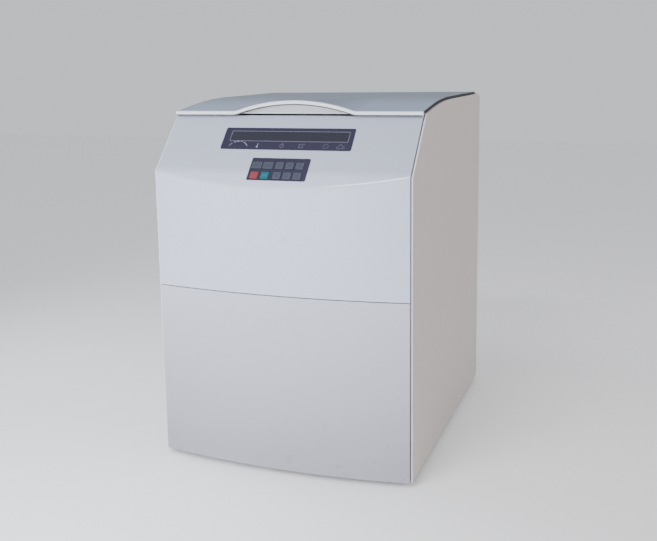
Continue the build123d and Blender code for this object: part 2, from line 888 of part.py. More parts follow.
with BuildPart() as latch_bolt:
    with BuildSketch(Plane.YZ.offset(-29)):
        with Locations((latch_y, deck_z - 22)):
            Circle(4.0)
    extrude(amount=22)

# ---------------------------------------------------------------- lid shell


def lid_section(x, arch_x):
    """Closed YZ section of the lid sheet at x; arch_x sets how far the front is raised."""
    raised = arch_height(arch_x) / arch_rise

    def lift(point, drop):
        return (point[0], point[1] + raised * (arch_flat_z - point[1]) - drop)

    front, knee = lift(lid_front, 0), lift(lid_knee, 0)
    control = lift(lid_control, 0)
    front_low, knee_low = lift(lid_front, lid_sheet), lift(lid_knee, lid_sheet)
    control_low = lift(lid_control, lid_sheet)
    crown_low = (lid_crown[0], lid_crown[1] - lid_sheet)
    rear_low = (lid_rear[0], lid_rear[1] - lid_sheet)
    with BuildSketch(Plane.YZ.offset(x)) as section:
        with BuildLine():
            Line(front, knee)
            Bezier(knee, control, lid_crown)
            Line(lid_crown, lid_rear)
            Line(lid_rear, rear_low)
            Line(rear_low, crown_low)
            Bezier(crown_low, control_low, knee_low)
            Line(knee_low, front_low)
            Line(front_low, front)
        make_face()
    return section.sketch


arch_steps = 24
trim_front_y = lip_y + lip_radius + 0.3
arch_stations = [arch_half * (2 * step / arch_steps - 1) for step in range(arch_steps + 1)]
lid_sheet_half = lid_half - edge_trim
lid_sections = [lid_section(-lid_sheet_half, arch_half)]
lid_sections += [lid_section(station, station) for station in arch_stations]
lid_sections += [lid_section(lid_sheet_half, arch_half)]
with BuildPart() as lid_shell:
    loft(sections=lid_sections, ruled=True)
    # rounded front lip follows the arch
    with BuildLine(upright_plane(lip_y)) as lip_path:
        join_x = arch_crown * sin(arch_angle)
        join_z = lip_z + arch_height(join_x)
        mid_x = arch_half - arch_blend * sin(arch_angle / 2)
        mid_z = lip_z + arch_height(mid_x)
        Line((-lid_half, lip_z), (-arch_half, lip_z))
        ThreePointArc((-arch_half, lip_z), (-mid_x, mid_z), (-join_x, join_z))
        ThreePointArc((-join_x, join_z), (0, lip_z + arch_rise), (join_x, join_z))
        ThreePointArc((join_x, join_z), (mid_x, mid_z), (arch_half, lip_z))
        Line((arch_half, lip_z), (lid_half, lip_z))
    with BuildSketch(Plane.YZ.offset(-lid_half)):
        with Locations((lip_y, lip_z)):
            Circle(lip_radius)
    sweep(path=lip_path.wire())

with BuildPart() as lid_edge_trim:
    for side in (-1, 1):
        with BuildSketch(Plane.YZ.offset(side * lid_sheet_half)):
            with BuildLine():
                top_start, top_end = profile_down(0, trim_front_y, lid_rear[0])
                low_start, low_end = profile_down(trim_height, trim_front_y, lid_rear[0])
                Line(top_start, low_start)
                Line(top_end, low_end)
            make_face()
        extrude(amount=side * edge_trim)

# ---------------------------------------------------------------- lid liner
liner_front_y = -236.0
liner_rear_y = 318.0
recess_top_y = -222.0
recess_rise = 27.0
recess_length = hypot(recess_top_y - liner_front_y, recess_rise)
recess_tilt = atan2(recess_rise, recess_top_y - liner_front_y)
recess_plane = Plane(
    origin=(0, liner_front_y, liner_z),
    x_dir=(1, 0, 0),
    z_dir=(0, -sin(recess_tilt), cos(recess_tilt)),
)
recess_low = 5.5
with BuildPart() as lid_liner:
    with BuildSketch(Plane.XY.offset(liner_z)):
        with Locations((0, (liner_front_y + liner_rear_y) / 2)):
            Rectangle(2 * liner_half, liner_rear_y - liner_front_y)
    extrude(amount=liner_sheet)
    with BuildSketch(Plane.XY.offset(liner_z - 1)):
        with Locations((9, latch_y)):
            Rectangle(22.4, 5.4)
    extrude(amount=liner_sheet + 2, mode=Mode.SUBTRACT)
    # side walls follow the lid's profile
    for side in (-1, 1):
        with BuildSketch(Plane.YZ.offset(side * liner_half)):
            with BuildLine():
                wall_start, wall_end = profile_down(lid_sheet + 0.4, recess_top_y, liner_rear_y)
                Polyline(
                    wall_end,
                    (liner_rear_y, liner_z),
                    (recess_top_y, liner_z),
                    wall_start,
                )
            make_face()
        extrude(amount=-side * 2)
    with BuildSketch(upright_plane(liner_rear_y)):
        with Locations((0, liner_z + 13.5)):
            Rectangle(2 * liner_half, 27)
    extrude(amount=2)
    # sloping recess wall behind the finger arch
    arch_peak = recess_length - 1.0
    shoulder = 0.69 * arch_half
    crown = 0.57 * arch_half
    with BuildSketch(recess_plane):
        with BuildLine():
            Line((-liner_half, 0), (-liner_half, recess_low))
            Line((-liner_half, recess_low), (-arch_half, recess_low))
            foot = (-arch_half, recess_low)
            Bezier(foot, (-shoulder, recess_low), (-crown, arch_peak), (0, arch_peak))
            foot = (arch_half, recess_low)
            Bezier((0, arch_peak), (crown, arch_peak), (shoulder, recess_low), foot)
            Line((arch_half, recess_low), (liner_half, recess_low))
            Line((liner_half, recess_low), (liner_half, 0))
            Line((liner_half, 0), (-liner_half, 0))
        make_face()
    extrude(amount=-2)

# ---------------------------------------------------------------- lid hinge
with BuildPart() as lid_fittings:
    for side in (-1, 1):
        start_x = side * hinge_x - knuckle_length / 2
        with BuildSketch(Plane.YZ.offset(start_x)):
            with Locations((hinge_y, hinge_z)):
                Circle(knuckle_radius)
            with Locations(((300 + hinge_y - 3) / 2, 832)):
                Rectangle(hinge_y - 3 - 300, 2.6)
            with Locations((hinge_y, hinge_z)):
                Circle(pin_radius + running_gap, mode=Mode.SUBTRACT)
        extrude(amount=knuckle_length)
        with BuildSketch(Plane.XY.offset(830.7)):
            with Locations((side * hinge_x, 305)):
                Rectangle(80, 20)
        extrude(amount=2.6)
        # strut stud plates on the liner's side walls
        with BuildSketch(Plane.YZ.offset(side * liner_half)):
            with Locations((strut_top[0], strut_top[1] - 1)):
                Rectangle(40, 16)
        extrude(amount=side * 1.8)
        with BuildSketch(Plane.YZ.offset(side * (liner_half + 1.8))):
            with Locations(strut_top):
                Circle(5)
        extrude(amount=side * 1.8)
    # striker hook that the latch bolt holds
    with BuildSketch(upright_plane(latch_y + 2.5)):
        with BuildLine():
            Polyline((-2, liner_z), (-2, deck_z - 38), (20, deck_z - 38), (20, liner_z))
            Line((20, liner_z), (-2, liner_z))
        make_face()
        # the bolt slides into this notch from the left
        with Locations((4, deck_z - 22)):
            Rectangle(20, 9.4, mode=Mode.SUBTRACT)
    extrude(amount=5)
    # mounting foot inside the liner
    with BuildSketch(Plane.XY.offset(liner_z + liner_sheet)):
        with Locations((9, latch_y)):
            Rectangle(40, 16)
    extrude(amount=3)
    with BuildSketch(Plane.XY.offset(liner_z)):
        with Locations((9, latch_y)):
            Rectangle(20, 5)
    extrude(amount=liner_sheet)

with BuildPart() as hinge_brackets:
    for side in (-1, 1):
        for end in (-1, 1):
            reach = knuckle_length / 2 + 0.5
            start_x = side * hinge_x + end * reach
            with BuildSketch(Plane.YZ.offset(start_x)):
                with Locations((hinge_y, hinge_z)):
                    Circle(knuckle_radius)
                with Locations((333.4, (hinge_z + deck_top) / 2)):
                    Rectangle(3, hinge_z - deck_top)
            extrude(amount=end * knuckle_length)
        with BuildSketch(Plane.YZ.offset(side * hinge_x - 44)):
            with Locations((hinge_y, hinge_z)):
                Circle(pin_radius)
        extrude(amount=88)
        # web that joins the two leaves, and the foot on the deck
        with BuildSketch(Plane.XY.offset(deck_top)):
            with Locations((side * hinge_x, 333.4)):
                Rectangle(91, 3)
        extrude(amount=26)
        with BuildSketch(Plane.XY.offset(deck_top)):
            with Locations((side * hinge_x, 348)):
                Rectangle(91, 30)
        extrude(amount=3)

# ---------------------------------------------------------------- seals beside the lid
with BuildPart() as edge_seals:
    for side in (-1, 1):
        with BuildSketch(Plane.YZ.offset(side * (lid_sheet_half - 0.3))):
            with BuildLine():
                low_start, low_end = profile_down(lid_to_panel, panel_top_start + 2, 322)
                high_start, high_end = profile_down(
                    lid_to_panel - seal_height, panel_top_start + 2, 322
                )
                Line(low_start, high_start)
                Line(low_end, high_end)
            make_face()
        extrude(amount=-side * seal_width)

# ---------------------------------------------------------------- gas struts
strut_rise = (strut_top[0] - strut_base[0], strut_top[1] - strut_base[1])
strut_length = hypot(*strut_rise)


def strut_plane(side):
    """Plane at the lower pivot with its normal along the strut."""
    direction = (0, strut_rise[0] / strut_length, strut_rise[1] / strut_length)
    return Plane(
        origin=(side * strut_x, strut_base[0], strut_base[1]), x_dir=(1, 0, 0), z_dir=direction
    )


def strut_cylinder(side):
    plane = strut_plane(side)
    with BuildPart() as tube:
        with BuildSketch(Plane.YZ.offset(side * strut_x - 4)):
            with Locations(strut_base):
                Circle(8)
        extrude(amount=8)
        with BuildSketch(plane.offset(5)):
            Circle(strut_tube_radius)
        extrude(amount=80)
        with BuildSketch(plane.offset(11)):
            Circle(strut_tube_radius - 1.2)
        extrude(amount=69, mode=Mode.SUBTRACT)
        with BuildSketch(plane.offset(11)):
            Circle(strut_rod_radius + running_gap)
        extrude(amount=80, mode=Mode.SUBTRACT)
        with BuildSketch(Plane.YZ.offset(side * strut_x - 5)):
            with Locations(strut_base):
                Circle(strut_rod_radius + running_gap)
        extrude(amount=10, mode=Mode.SUBTRACT)
    return tube


def strut_rod(side):
    plane = strut_plane(side)
    with BuildPart() as rod:
        with BuildSketch(plane.offset(13)):
            Circle(strut_rod_radius)
        extrude(amount=strut_length - 13 - 4)
        with BuildSketch(plane.offset(13)):
            Circle(strut_tube_radius - 1.2 - running_gap)
        extrude(amount=6)
        with BuildSketch(Plane.YZ.offset(side * strut_x - 4.6)):
            with Locations(strut_top):
                Circle(6.5)
        extrude(amount=9.2)
        with BuildSketch(Plane.YZ.offset(side * strut_x - 5)):
            with Locations(strut_top):
                Circle(3)
        extrude(amount=10, mode=Mode.SUBTRACT)
    return rod


strut_cylinder_left = strut_cylinder(-1)
strut_cylinder_right = strut_cylinder(1)
strut_rod_left = strut_rod(-1)
strut_rod_right = strut_rod(1)

# ---------------------------------------------------------------- rotor
with BuildPart() as rotor_spindle:
    stem = [(0, plate_low - 44), (shaft_radius, plate_low - 44), (shaft_radius, 640)]
    stem += [(24, 640), (24, 668), (shaft_radius - 0.5, 668), (shaft_radius - 0.5, 716)]
    stem += [(8, 716), (8, 728), (0, 728)]
    add(turned(stem, chamber_plane, chamber_axis()))

arm_inner = 51.0                # inside face of the arm heads, clear of the buckets
arm_outer = 63.0
arm_tip = trunnion_radius + 8
with BuildPart() as rotor_yoke:
    with BuildSketch(Plane.XY.offset(668)):
        with Locations((0, chamber_y)):
            Circle(34)
    extrude(amount=46)
    for quarter in range(4):
        turned_plane = Plane(
            origin=(0, chamber_y, trunnion_z - 11),
            x_dir=(cos(radians(90 * quarter)), sin(radians(90 * quarter)), 0),
            z_dir=(0, 0, 1),
        )
        with BuildSketch(turned_plane):
            with BuildLine():
                Polyline(
                    (24, 8),
                    (47, 45),
                    (arm_tip, arm_inner),
                    (arm_tip, arm_outer),
                    (arm_outer, arm_tip),
                    (arm_inner, arm_tip),
                    (45, 47),
                    (8, 24),
                    close=True,
                )
            make_face()
        extrude(amount=22)
        # trunnion pins reach the buckets on either side of the arm
        along_y = Plane(
            origin=turned_plane.from_local_coords((trunnion_radius, arm_inner, 11)),
            x_dir=(0, 0, 1),
            z_dir=turned_plane.y_dir,
        )
        with BuildSketch(along_y):
            Circle(trunnion_pin_radius)
        extrude(amount=-6)
        along_x = Plane(
            origin=turned_plane.from_local_coords((arm_inner, trunnion_radius, 11)),
            x_dir=(0, 0, 1),
            z_dir=turned_plane.x_dir,
        )
        with BuildSketch(along_x):
            Circle(trunnion_pin_radius)
        extrude(amount=-6)
    with BuildSketch(Plane.XY.offset(660)):
        with Locations((0, chamber_y)):
            Circle(shaft_radius - 0.4)
    extrude(amount=60, mode=Mode.SUBTRACT)

with BuildPart() as rotor_nut:
    with BuildSketch(Plane.XY.offset(716)):
        with Locations((0, chamber_y)):
            Circle(19)
            with PolarLocations(19.6, 12):
                Circle(1.8, mode=Mode.SUBTRACT)
    extrude(amount=20)
    fillet(rotor_nut.edges().group_by(Axis.Z)[-1], radius=1.0)
    with BuildSketch(Plane.XY.offset(716)):
        with Locations((0, chamber_y)):
            Circle(8.1)
    extrude(amount=13, mode=Mode.SUBTRACT)


def bucket(quarter):
    """A swing-out bucket with two bored ears that hang on the yoke's trunnion pins."""
    angle = radians(90 * quarter)
    centre = (trunnion_radius * cos(angle), chamber_y + trunnion_radius * sin(angle))
    across = (-sin(angle), cos(angle), 0)
    outward = (cos(angle), sin(angle), 0)
    bottom = trunnion_z - bucket_below
    height = bucket_above + bucket_below
    with BuildPart() as cup:
        with BuildSketch(Plane.XY.offset(bottom)):
            with Locations(centre):
                Circle(bucket_radius)
        extrude(amount=height)
        fillet(cup.edges().group_by(Axis.Z)[0], radius=10)
        # ears
        ear_plane = Plane(
            origin=(
                centre[0] - ear_span * across[0],
                centre[1] - ear_span * across[1],
                trunnion_z,
            ),
            x_dir=outward,
            z_dir=across,
        )
        with BuildSketch(ear_plane):
            Circle(13)
        extrude(amount=2 * ear_span)
        with BuildSketch(Plane.XY.offset(bottom + 5)):
            with Locations(centre):
                Circle(bucket_radius - bucket_sheet)
        extrude(amount=height, mode=Mode.SUBTRACT)
        for direction in (-1, 1):
            mouth = Plane(
                origin=(
                    centre[0] + direction * ear_span * across[0],
                    centre[1] + direction * ear_span * across[1],
                    trunnion_z,
                ),
                x_dir=outward,
                z_dir=(direction * across[0], direction * across[1], 0),
            )
            with BuildSketch(mouth):
                Circle(trunnion_pin_radius + running_gap)
            extrude(amount=-3.8, mode=Mode.SUBTRACT)
    return cup


buckets = [bucket(quarter) for quarter in range(4)]

# ---------------------------------------------------------------- export
pieces = {
    "base_frame": base_frame,
    "upright_frame": upright_frame,
    "left_side_panel": left_side_panel,
    "right_side_panel": right_side_panel,
    "rear_panel": rear_panel,
    "panel_screws": panel_screws,
    "upper_front_panel": upper_front_panel,
    "lower_front_panel": lower_front_panel,
    "keypad_overlay": keypad_overlay,
    "display_overlay": display_overlay,
    "display_window": display_window,
    "control_board": control_board,
    "rear_roller_left": rear_roller_left,
    "rear_roller_right": rear_roller_right,
    "front_foot_left": front_foot_left,
    "front_foot_right": front_foot_right,
    "top_deck": top_deck,
    "chamber_bowl": chamber_bowl,
    "chamber_gasket": chamber_gasket,
    "bowl_insulation": bowl_insulation,
    "guard_ring": guard_ring,
    "evaporator_coil": evaporator_coil,
    "motor_plate": motor_plate,
    "rubber_dampers": rubber_dampers,
    "motor_housing": motor_housing,
    "compressor": compressor,
    "condenser_core": condenser_core,
    "fan_shroud": fan_shroud,
    "fan_blades": fan_blades,
    "power_entry": power_entry,
    "power_rocker": power_rocker,
    "latch_housing": latch_housing,
    "latch_bolt": latch_bolt,
    "lid_shell": lid_shell,
    "lid_edge_trim": lid_edge_trim,
    "lid_liner": lid_liner,
    "lid_fittings": lid_fittings,
    "hinge_brackets": hinge_brackets,
    "edge_seals": edge_seals,
    "strut_cylinder_left": strut_cylinder_left,
    "strut_cylinder_right": strut_cylinder_right,
    "strut_rod_left": strut_rod_left,
    "strut_rod_right": strut_rod_right,
    "rotor_spindle": rotor_spindle,
    "rotor_yoke": rotor_yoke,
    "rotor_nut": rotor_nut,
}
pieces.update({f"bucket_{number + 1}": cup for number, cup in enumerate(buckets)})
pieces.update({f"key_{number + 1}": cap for number, cap in enumerate(keys)})

for name, piece in pieces.items():
    piece.part.label = name
    export_step(piece.part, f"parts/{name}.step")
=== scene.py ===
"""Laboratory centrifuge: finishes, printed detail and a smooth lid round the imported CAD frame."""
import json
from math import atan2, cos, radians, sin, sqrt

import bmesh
import bpy
from mathutils import Matrix, Vector


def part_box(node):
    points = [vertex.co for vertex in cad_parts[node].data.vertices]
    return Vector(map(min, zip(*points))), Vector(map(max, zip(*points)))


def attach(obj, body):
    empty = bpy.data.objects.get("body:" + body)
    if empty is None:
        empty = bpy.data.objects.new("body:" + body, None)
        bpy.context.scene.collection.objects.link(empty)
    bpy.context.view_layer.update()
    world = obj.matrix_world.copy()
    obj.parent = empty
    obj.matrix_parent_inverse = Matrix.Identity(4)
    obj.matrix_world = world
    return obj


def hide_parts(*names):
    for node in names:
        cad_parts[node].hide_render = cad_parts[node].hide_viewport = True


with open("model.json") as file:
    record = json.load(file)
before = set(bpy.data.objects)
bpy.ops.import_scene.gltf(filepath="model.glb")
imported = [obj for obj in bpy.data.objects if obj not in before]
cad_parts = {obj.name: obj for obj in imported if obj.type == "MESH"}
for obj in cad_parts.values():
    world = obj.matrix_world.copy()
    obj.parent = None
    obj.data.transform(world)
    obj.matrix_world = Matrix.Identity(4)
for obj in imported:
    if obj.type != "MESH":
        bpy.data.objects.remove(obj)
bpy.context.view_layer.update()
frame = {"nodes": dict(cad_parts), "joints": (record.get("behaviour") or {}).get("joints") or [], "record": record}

MM = 0.001
RECORD = frame["record"]
NODES = frame["nodes"]
SLOT_OF = {entry["node"]: entry["material_slot"] for entry in RECORD["subparts"]}
BODY_OF = {
    node: body for body, nodes in RECORD["behaviour"]["bodies"].items() for node in nodes
}


# ------------------------------------------------------------------ material building blocks
SHEET_ROUNDING = 0.6 * MM       # shading radius of the edges of painted sheet
FINE_ROUNDING = 0.4 * MM        # shading radius of the edges of metal and mouldings
EDGE_TINT_REACH = 1.2 * MM           # how far the lighter edge colour reaches from an edge: wear and a painted highlight
FLAT_DOT, LIT_EDGE_DOT = 0.985, 0.80        # rounded normal times true one: on flats, on the lightened edges
HEM_REACH = 1.4 * MM            # how far the painted light on the side panels' hem reaches round its bend
BEND_Y, HEM_Y = -0.20, -0.55    # Y of the rounded normal where the hem's painted light starts, and is full
SLOPE_Y, LEVEL_Y = -0.14, -0.02         # Y of the lid's normal on its front slope, and behind it, for its painted reflection
BEVEL_SAMPLES = 4
MIX_A, MIX_B, MIX_COLOUR = 6, 7, 2      # a Mix node's colour inputs and colour output


def scaled(colour, share):
    """A colour with each channel multiplied, none past 1."""
    return tuple(min(1.0, channel * share) for channel in colour)


def shifted(colour, amount):
    """A colour with the same amount added to each channel, kept within 0 and 1."""
    return tuple(min(1.0, max(0.0, channel + amount)) for channel in colour)


class Shader:
    """A Principled material with helpers that add noise, bump and edge detail to it."""

    def __init__(self, name, colour, roughness, metallic=0.0, coat=0.0):
        self.material = bpy.data.materials.new(name)
        self.material.use_nodes = True
        self.tree = self.material.node_tree
        self.principled = self.tree.nodes["Principled BSDF"]
        self.colour = (*colour, 1.0)
        self.roughness = roughness
        self.set("Base Color", self.colour)
        self.set("Roughness", roughness)
        self.set("Metallic", metallic)
        self.set("Coat Weight", coat)
        coordinates = self.node("ShaderNodeTexCoord")
        self.place = coordinates.outputs["Object"]
        self.lean = coordinates.outputs["Normal"]

    def set(self, socket, value):
        self.principled.inputs[socket].default_value = value

    def node(self, kind, **sockets):
        """A new node with its sockets set: from_min=0 sets the one called From Min."""
        made = self.tree.nodes.new(kind)
        for name, value in sockets.items():
            made.inputs[name.replace("_", " ").title()].default_value = value
        return made

    def link(self, source, target):
        self.tree.links.new(source, target)

    def stretched(self, scale):
        """Object coordinates scaled unevenly, for brushing."""
        mapping = self.node("ShaderNodeMapping", scale=scale)
        self.link(self.place, mapping.inputs["Vector"])
        return mapping.outputs["Vector"]

    def noise(self, scale, detail, rough=0.5, where=None):
        """Noise between 0 and 1, mostly between 0.3 and 0.7."""
        made = self.node("ShaderNodeTexNoise", scale=scale, detail=detail, roughness=rough)
        self.link(where or self.place, made.inputs["Vector"])
        return made.outputs["Fac"]

    def ramp(self, source, low, high, from_low=0.3, from_high=0.7):
        """low where source is from_low, high where it is from_high, even in between."""
        made = self.node(
            "ShaderNodeMapRange", from_min=from_low, from_max=from_high, to_min=low, to_max=high
        )
        self.link(source, made.inputs["Value"])
        return made.outputs["Result"]

    def along(self, axis, start, end, vector=None):
        """0 at start and 1 at end of the X, Y or Z of the place, or of another vector."""
        split = self.node("ShaderNodeSeparateXYZ")
        self.link(vector or self.place, split.inputs["Vector"])
        return self.ramp(split.outputs[axis], 0.0, 1.0, start, end)

    def tint(self, factor, colour):
        """Mixes another colour into the base colour by factor."""
        mix = self.node("ShaderNodeMix")
        mix.data_type = "RGBA"
        self.link(factor, mix.inputs[0])
        current = self.principled.inputs["Base Color"]
        if current.is_linked:
            self.link(current.links[0].from_socket, mix.inputs[MIX_A])
        else:
            mix.inputs[MIX_A].default_value = self.colour
        mix.inputs[MIX_B].default_value = (*colour, 1.0)
        self.link(mix.outputs[MIX_COLOUR], current)

    def cloud(self, scale, detail, share, colour):
        """Soft patches of another colour, at most share of it."""
        self.tint(self.ramp(self.noise(scale, detail), 0.0, share), colour)

    def vary_roughness(self, source, spread):
        low, high = max(0.02, self.roughness - spread), min(1.0, self.roughness + spread)
        self.link(self.ramp(source, low, high), self.principled.inputs["Roughness"])

    def bump(self, source, strength, distance):
        made = self.node("ShaderNodeBump", strength=strength, distance=distance)
        self.link(source, made.inputs["Height"])
        target = self.principled.inputs["Normal"]
        if target.is_linked:
            self.link(target.links[0].from_socket, made.inputs["Normal"])
        self.link(made.outputs["Normal"], target)

    def rounded_normal(self, radius):
        made = self.node("ShaderNodeBevel", radius=radius)
        made.samples = BEVEL_SAMPLES
        return made.outputs["Normal"]

    def soften_edges(self, radius):
        """Rounds the shading of sharp edges; call before bump."""
        self.link(self.rounded_normal(radius), self.principled.inputs["Normal"])

    def facing_front(self):
        """1 on surfaces that face the operator and on the bends beside them, where light is painted."""
        return self.along("Y", BEND_Y, HEM_Y, self.rounded_normal(HEM_REACH))

    def edge_wear_and_highlight(self, share, colour):
        """Another colour along edges, where a rounded normal leans away from the true one; lighter here, standing
        for wear and a painted edge highlight.
        """
        true_normal = self.node("ShaderNodeNewGeometry").outputs["True Normal"]
        dot = self.node("ShaderNodeVectorMath")
        dot.operation = "DOT_PRODUCT"
        self.link(self.rounded_normal(EDGE_TINT_REACH), dot.inputs[0])
        self.link(true_normal, dot.inputs[1])
        edge = self.ramp(dot.outputs["Value"], 0.0, 1.0, FLAT_DOT, LIT_EDGE_DOT)
        self.tint(self.ramp(edge, 0.0, share, 0.2, 1.0), colour)


def enamel(
    name, colour, roughness, shift=0.04, peel=0.12, coat=0.15, shade_fade=None, level_shade_colour=None
):
    """Sprayed enamel on sheet metal: orange peel, slight clouding and lighter edges, from wear and a painted
    highlight.

    shade_fade is (axis, start, end, colour): a painted shade, the paint turns to that colour from start to end.
    Where the surface lies level it turns to level_shade_colour, a painted reflection darker than the slope.
    """
    shader = Shader(name, colour, roughness, coat=coat)
    shader.set("Coat Roughness", 0.13)
    shader.cloud(scale=4.0, detail=2.0, share=0.55, colour=shifted(colour, -shift))
    if shade_fade:
        # painted shade along an axis
        axis, start, end, far_colour = shade_fade
        shader.tint(shader.along(axis, start, end), far_colour)
    # painted reflection: darker where the surface lies level
    if level_shade_colour:
        shader.tint(shader.along("Y", SLOPE_Y, LEVEL_Y, shader.lean), level_shade_colour)
        shader.set("Specular IOR Level", 0.15)
    # lighter edges: wear and a painted highlight
    shader.edge_wear_and_highlight(share=0.45, colour=shifted(colour, 1.6 * shift))
    shader.soften_edges(SHEET_ROUNDING)
    shader.bump(shader.noise(scale=420.0, detail=2.0, rough=0.6), strength=peel, distance=0.4 * MM)
    shader.bump(shader.noise(scale=9.0, detail=1.0), strength=0.06, distance=2.0 * MM)
    shader.vary_roughness(shader.noise(scale=38.0, detail=4.0), spread=0.03)
    return shader.material


def powder_coat(name, colour, roughness=0.5, hem=None):
    """Textured powder coat: a fine pebbled grain with faint speckle.

    Surfaces that face the operator turn to the colour hem, a painted light.
    """
    shader = Shader(name, colour, roughness)
    shader.cloud(scale=5.0, detail=2.0, share=0.6, colour=scaled(colour, 0.93))
    speckle = shader.ramp(shader.noise(scale=1500.0, detail=1.0, rough=0.4), 0.0, 0.35, 0.52, 0.72)
    shader.tint(speckle, scaled(colour, 1.12))
    # lighter edges: wear and a painted highlight
    shader.edge_wear_and_highlight(share=0.4, colour=scaled(colour, 1.25))
    # painted light on surfaces that face the operator
    if hem:
        shader.tint(shader.facing_front(), hem)
    shader.soften_edges(SHEET_ROUNDING)
    shader.bump(shader.noise(scale=900.0, detail=3.0, rough=0.6), strength=0.25, distance=0.4 * MM)
    shader.vary_roughness(shader.noise(scale=60.0, detail=3.0), spread=0.06)
    return shader.material


def metal(name, colour, roughness, brushed=None, mottled=0.0):
    """Bare metal. brushed is the (x, y, z) scale of its grain, small along the grain."""
    shader = Shader(name, colour, roughness, metallic=1.0)
    if brushed:
        grain = shader.noise(scale=1.0, detail=4.0, rough=0.65, where=shader.stretched(brushed))
        shader.vary_roughness(grain, spread=0.12)
        shader.soften_edges(FINE_ROUNDING)
        shader.bump(grain, strength=0.10, distance=0.2 * MM)
        shader.tint(shader.ramp(grain, 0.0, 0.35), scaled(colour, 0.85))
    else:
        shader.vary_roughness(shader.noise(scale=90.0, detail=4.0), spread=0.08)
        shader.soften_edges(FINE_ROUNDING)
        shader.bump(shader.noise(scale=300.0, detail=3.0), strength=0.08, distance=0.2 * MM)
    if mottled:
        patches = shader.ramp(shader.noise(scale=55.0, detail=5.0, rough=0.7), 0.0, mottled, 0.42, 0.62)
        shader.tint(patches, scaled(colour, 0.72))
    return shader.material


def moulded(name, colour, roughness, grain=700.0, depth=0.12, speck=0.06):
    """Moulded plastic or rubber with a fine spark-eroded grain."""
    shader = Shader(name, colour, roughness)
    shader.cloud(scale=12.0, detail=3.0, share=0.6, colour=scaled(colour, 1 - speck))
    shader.soften_edges(FINE_ROUNDING)
    shader.bump(shader.noise(scale=grain, detail=3.0, rough=0.6), strength=depth, distance=0.3 * MM)
    shader.vary_roughness(shader.noise(scale=80.0, detail=3.0), spread=0.06)
    return shader.material


def film(name, colour, roughness=0.28):
    """Printed polyester film: smooth, with a faint ripple and a thin clear coat."""
    shader = Shader(name, colour, roughness, coat=0.08)
    shader.set("Coat Roughness", 0.2)
    shader.cloud(scale=30.0, detail=2.0, share=0.4, colour=scaled(colour, 0.90))
    shader.bump(shader.noise(scale=60.0, detail=2.0), strength=0.03, distance=0.4 * MM)
    shader.vary_roughness(shader.noise(scale=14.0, detail=2.0), spread=0.02)
    return shader.material


def foamed(name, colour):
    """Rigid foam with open cut cells."""
    shader = Shader(name, colour, 0.9)
    cells = shader.node("ShaderNodeTexVoronoi", scale=260.0)
    shader.link(shader.place, cells.inputs["Vector"])
    shader.tint(shader.ramp(cells.outputs["Distance"], 0.0, 0.5, 0.0, 0.7), scaled(colour, 0.8))
    shader.bump(cells.outputs["Distance"], strength=0.4, distance=0.8 * MM)
    return shader.material


